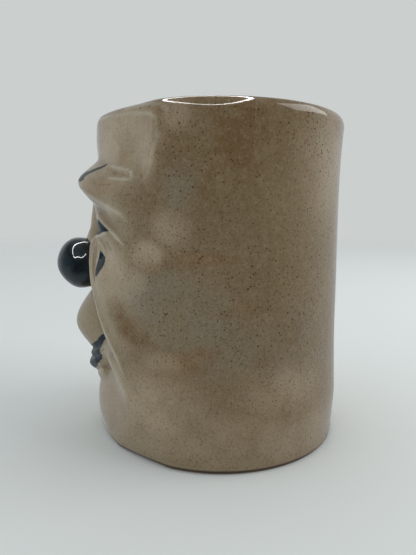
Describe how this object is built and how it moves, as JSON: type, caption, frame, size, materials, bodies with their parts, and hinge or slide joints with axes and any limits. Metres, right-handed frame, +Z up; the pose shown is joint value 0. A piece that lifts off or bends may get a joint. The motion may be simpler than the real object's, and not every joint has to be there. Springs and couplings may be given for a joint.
{
  "type": "face mug",
  "caption": "Handleless stoneware mug with a modelled face on one side: brows, lids, round nose ball, cheeks, lips and chin on a round wall, open at the top.",
  "frame": {"origin": "middle of the flat base, on the axis of the round body, on the plane the mug stands on", "axes": "+Z up along the body's axis, -Y out of the face, +X towards the face's own left"},
  "size_m": [0.0838, 0.1014, 0.108],
  "materials": {
    "speckled_glaze": "satin oatmeal glaze over iron-speckled stoneware",
    "raw_clay": "unglazed, fired stoneware",
    "dark_glaze": "glossy blue-black glaze"
  },
  "bodies": {
    "root": {"wall": "speckled_glaze", "floor": "raw_clay", "nose_ball": "dark_glaze", "nose_bridge": "speckled_glaze", "brow_left": "speckled_glaze", "brow_right": "speckled_glaze", "eyelid_left": "speckled_glaze", "eyelid_right": "speckled_glaze", "cheek_left": "speckled_glaze", "cheek_right": "speckled_glaze", "upper_lip": "speckled_glaze", "lower_lip": "speckled_glaze", "chin": "speckled_glaze"}
  },
  "joints": []
}
